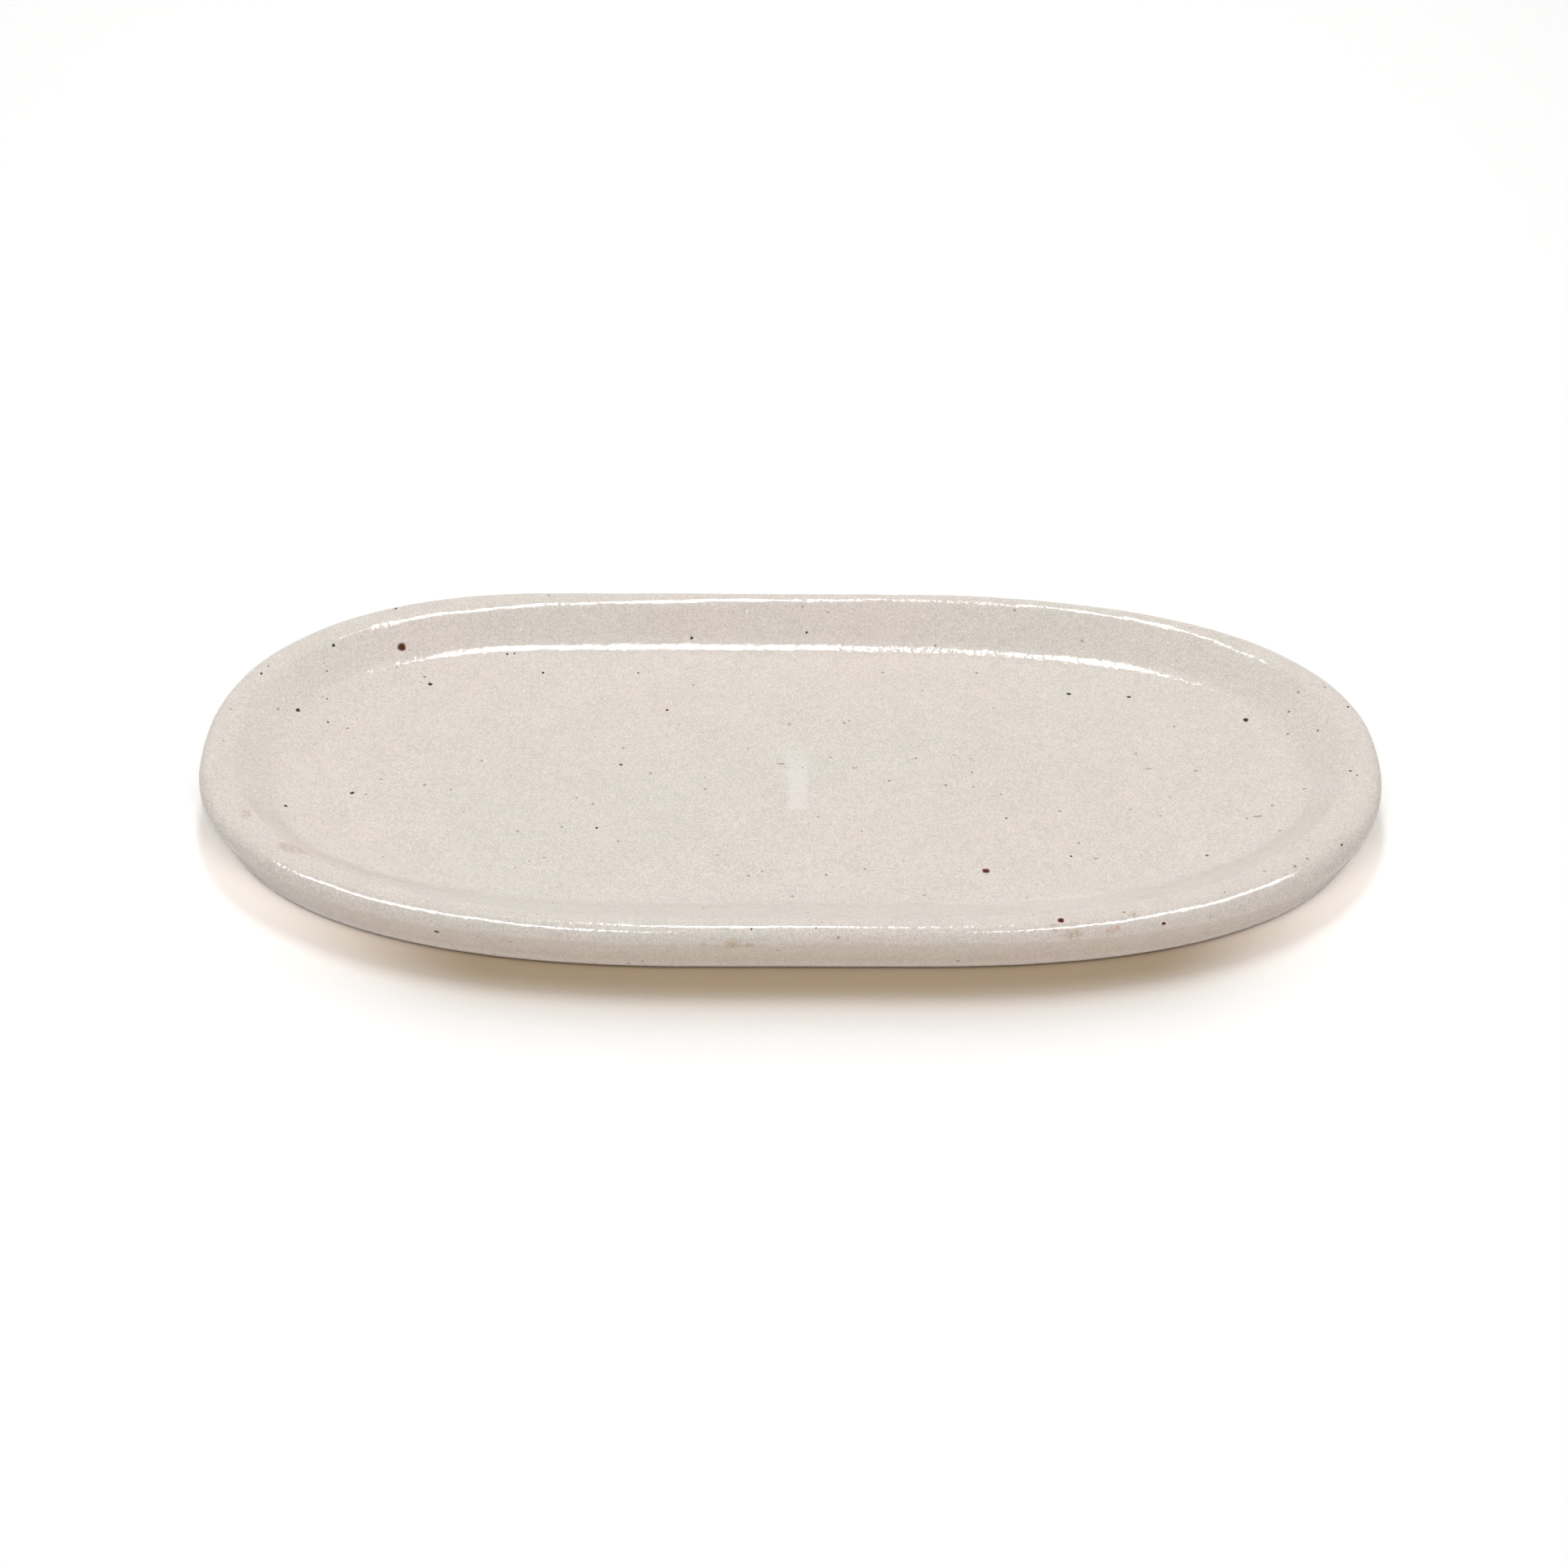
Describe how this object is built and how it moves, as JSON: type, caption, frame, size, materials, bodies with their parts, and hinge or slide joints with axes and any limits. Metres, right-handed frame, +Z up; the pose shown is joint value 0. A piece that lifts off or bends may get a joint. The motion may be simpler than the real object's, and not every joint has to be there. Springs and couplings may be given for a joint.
{
  "type": "oval tray",
  "caption": "Shallow oval stoneware tray with a raked outer wall, a rounded rim that broadens at the ends and a flat floor that curls up into it, coated in speckled white glaze over a bare flat foot.",
  "frame": {"origin": "middle of the overall length and width, on the surface that the flat foot rests on", "axes": "+Z up out of the dish, +X along the tray, +Y across it"},
  "size_m": [0.25, 0.12, 0.0145],
  "materials": {
    "bare_stoneware": "matt, unglazed, fine sandy grain",
    "speckled_glaze": "glossy warm white glaze with scattered iron specks and a slight orange-peel surface"
  },
  "bodies": {
    "root": {"stoneware_body": "bare_stoneware", "glaze_coat": "speckled_glaze"}
  },
  "joints": []
}
